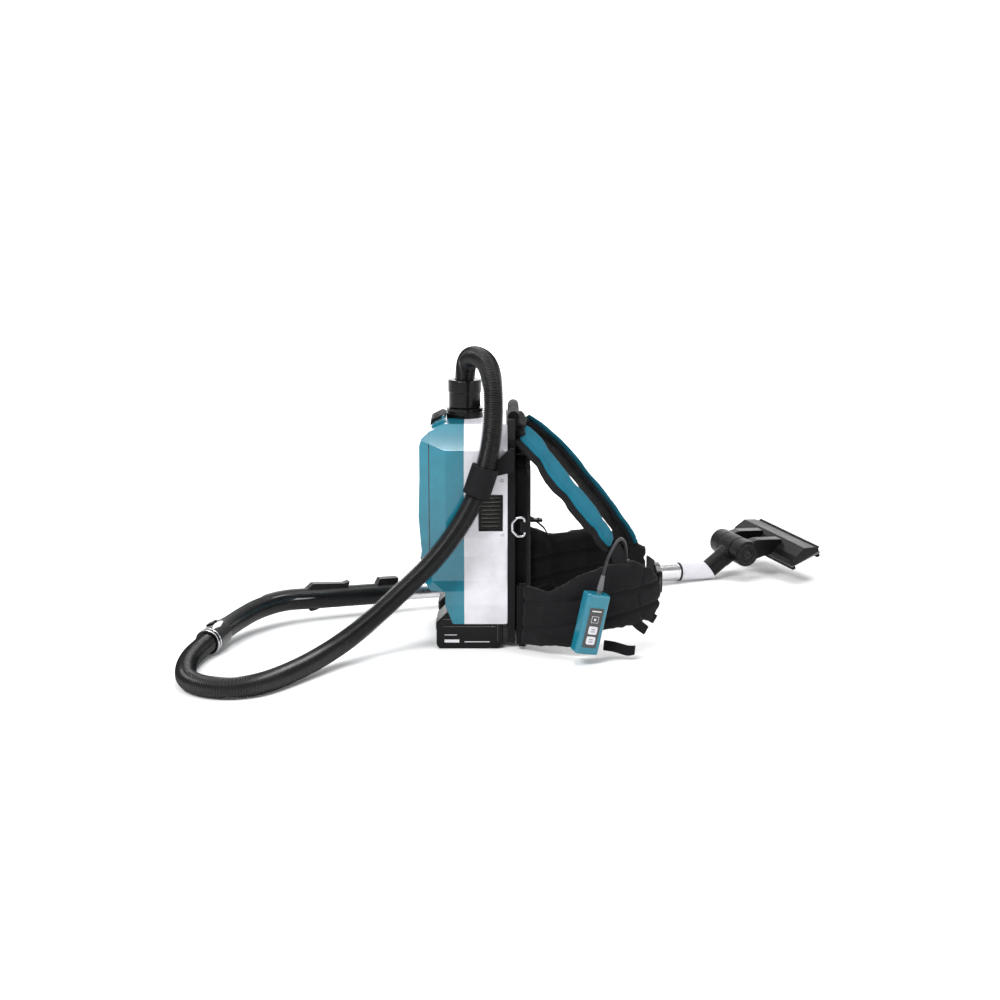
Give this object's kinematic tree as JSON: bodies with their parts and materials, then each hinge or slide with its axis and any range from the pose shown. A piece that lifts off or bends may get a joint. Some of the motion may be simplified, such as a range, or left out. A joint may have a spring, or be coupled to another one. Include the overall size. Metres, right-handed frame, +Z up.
{
  "type": "backpack vacuum cleaner",
  "caption": "Battery backpack vacuum cleaner with a padded harness, ribbed hose, bent handle, telescopic wand, wide floor nozzle and a wired hand control.",
  "frame": {"origin": "the floor point under the hose inlet's axis, midway between the two battery packs that the body stands on", "axes": "+Z up, +X the wearer's forward direction from the casing to the harness, +Y to the side on which the wand lies"},
  "size_m": [1.1754, 0.9773, 0.5254],
  "materials": {
    "aluminium": "satin",
    "bag_fleece": "matte",
    "black_fabric": "matte",
    "black_plastic": "satin",
    "board_green": "satin",
    "bristle": "matte",
    "chrome": "polished",
    "copper_motor": "matte",
    "dark_gloss": "gloss",
    "filter_white": "matte",
    "grey_plastic": "satin",
    "hose_plastic": "satin",
    "rubber_black": "matte",
    "steel": "satin",
    "teal_fabric": "matte",
    "teal_plastic": "gloss",
    "webbing_black": "matte",
    "white_plastic": "satin"
  },
  "bodies": {
    "vacuum_body": {"main_housing": "teal_plastic", "front_housing": "white_plastic", "hinge_pins": "steel", "inlet_ring": "black_plastic", "hose": "hose_plastic", "hose_holder": "black_plastic", "exhaust_grilles": "black_plastic", "exhaust_filters": "filter_white", "bag_collar": "grey_plastic", "dust_bag": "bag_fleece", "motor_filter": "filter_white", "motor_can": "copper_motor", "motor_mount": "rubber_black", "control_board": "board_green", "battery_rails": "grey_plastic", "plate_screws": "steel", "back_plate": "black_plastic", "back_pad": "black_fabric", "carry_handle": "black_plastic", "shoulder_strap_near": "teal_fabric", "shoulder_strap_far": "teal_fabric", "waist_pad_near": "black_fabric", "waist_pad_far": "black_fabric", "buckle_socket": "black_plastic", "strap_adjusters": "black_plastic", "webbing": "webbing_black", "remote_housing": "teal_plastic", "remote_panel": "dark_gloss", "remote_cable": "rubber_black", "cable_sleeves": "grey_plastic", "air_sleeve": "chrome", "wand_handle": "black_plastic", "inner_tube": "aluminium"},
    "rear_cover_set": {"rear_cover": "teal_plastic", "catch_plate": "dark_gloss", "cover_gasket": "rubber_black"},
    "cover_latch_set": {"cover_latch": "black_plastic"},
    "hose_cuff_set": {"hose_cuff": "black_plastic"},
    "fan_set": {"fan_rotor": "grey_plastic"},
    "battery_near": {"battery_pack_near": "black_plastic"},
    "battery_far": {"battery_pack_far": "black_plastic"},
    "battery_button_near_set": {"battery_button_near": "grey_plastic"},
    "battery_button_far_set": {"battery_button_far": "grey_plastic"},
    "power_button": {"remote_power_button": "white_plastic"},
    "speed_button": {"remote_speed_button": "white_plastic"},
    "swivel_collar": {"hose_swivel": "chrome"},
    "air_slider_set": {"air_slider": "black_plastic"},
    "outer_wand": {"outer_tube": "aluminium", "tube_lock": "black_plastic", "nozzle_sleeve": "white_plastic", "nozzle_elbow": "black_plastic"},
    "tube_lock_button_set": {"tube_lock_button": "grey_plastic"},
    "nozzle_yoke_set": {"nozzle_yoke": "black_plastic"},
    "nozzle_head_set": {"nozzle_head": "black_plastic", "nozzle_sole": "grey_plastic", "nozzle_bristles": "bristle", "pivot_pin": "steel"},
    "ring_near": {"d_ring_near": "steel"},
    "ring_far": {"d_ring_far": "steel"},
    "buckle_tongue": {"buckle_prongs": "black_plastic"}
  },
  "joints": [
    {"name": "cover_hinge", "type": "hinge", "parent": "vacuum_body", "child": "rear_cover_set", "pos_m": [-0.073, 0, 0.158], "axis": [0, -1, 0], "range_deg": [0, 100]},
    {"name": "latch_hinge", "type": "hinge", "parent": "vacuum_body", "child": "cover_latch_set", "pos_m": [-0.037, 0, 0.3973], "axis": [0, 1, 0], "range_deg": [0, 50]},
    {"name": "cuff_swivel", "type": "hinge", "parent": "vacuum_body", "child": "hose_cuff_set", "pos_m": [0, 0, 0.43], "axis": [0, 0, 1], "continuous": true},
    {"name": "fan_spin", "type": "hinge", "parent": "vacuum_body", "child": "fan_set", "pos_m": [0, 0, 0.25], "axis": [1, 0, 0], "continuous": true},
    {"name": "battery_slide_near", "type": "slide", "parent": "vacuum_body", "child": "battery_near", "axis": [-1, 0, 0], "range_m": [0, 0.07]},
    {"name": "battery_slide_far", "type": "slide", "parent": "vacuum_body", "child": "battery_far", "axis": [-1, 0, 0], "range_m": [0, 0.07]},
    {"name": "battery_button_near_press", "type": "slide", "parent": "battery_near", "child": "battery_button_near_set", "axis": [0, 0, -1], "range_m": [0, 0.003], "stiffness_N_per_m": 600, "springref_m": -0.002},
    {"name": "battery_button_far_press", "type": "slide", "parent": "battery_far", "child": "battery_button_far_set", "axis": [0, 0, -1], "range_m": [0, 0.003], "stiffness_N_per_m": 600, "springref_m": -0.002},
    {"name": "power_button_press", "type": "slide", "parent": "vacuum_body", "child": "power_button", "axis": [-0.3664, 0.9272, 0.0779], "range_m": [0, 0.0015], "stiffness_N_per_m": 400, "springref_m": -0.001},
    {"name": "speed_button_press", "type": "slide", "parent": "vacuum_body", "child": "speed_button", "axis": [-0.3664, 0.9272, 0.0779], "range_m": [0, 0.0015], "stiffness_N_per_m": 400, "springref_m": -0.001},
    {"name": "hose_swivel_turn", "type": "hinge", "parent": "vacuum_body", "child": "swivel_collar", "pos_m": [-0.443, -0.155, 0.024], "axis": [0.3002, 0.9486, 0.1001], "continuous": true},
    {"name": "air_slider_move", "type": "slide", "parent": "vacuum_body", "child": "air_slider_set", "axis": [-0.3002, -0.9486, -0.1001], "range_m": [0, 0.011]},
    {"name": "wand_extend", "type": "slide", "parent": "vacuum_body", "child": "outer_wand", "axis": [0.9236, 0.3824, -0.0282], "range_m": [0, 0.15]},
    {"name": "tube_lock_press", "type": "slide", "parent": "outer_wand", "child": "tube_lock_button_set", "axis": [0.9236, 0.3824, -0.0282], "range_m": [0, 0.004], "stiffness_N_per_m": 500, "springref_m": -0.002},
    {"name": "nozzle_swivel", "type": "hinge", "parent": "outer_wand", "child": "nozzle_yoke_set", "pos_m": [0.532, 0.412, 0.06], "axis": [0.7612, 0.3115, 0.5688], "range_deg": [-60, 60]},
    {"name": "nozzle_tilt", "type": "hinge", "parent": "nozzle_yoke_set", "child": "nozzle_head_set", "pos_m": [0.532, 0.412, 0.06], "axis": [0.4182, -0.9061, -0.0634], "range_deg": [-15, 30]},
    {"name": "ring_near_swing", "type": "hinge", "parent": "vacuum_body", "child": "ring_near", "pos_m": [0.104, -0.1175, 0.22], "axis": [0, 0, 1], "range_deg": [0, 110]},
    {"name": "ring_far_swing", "type": "hinge", "parent": "vacuum_body", "child": "ring_far", "pos_m": [0.104, 0.1175, 0.22], "axis": [0, 0, -1], "range_deg": [0, 110]},
    {"name": "buckle_release", "type": "slide", "parent": "vacuum_body", "child": "buckle_tongue", "axis": [0, 1, 0], "range_m": [0, 0.03]}
  ]
}
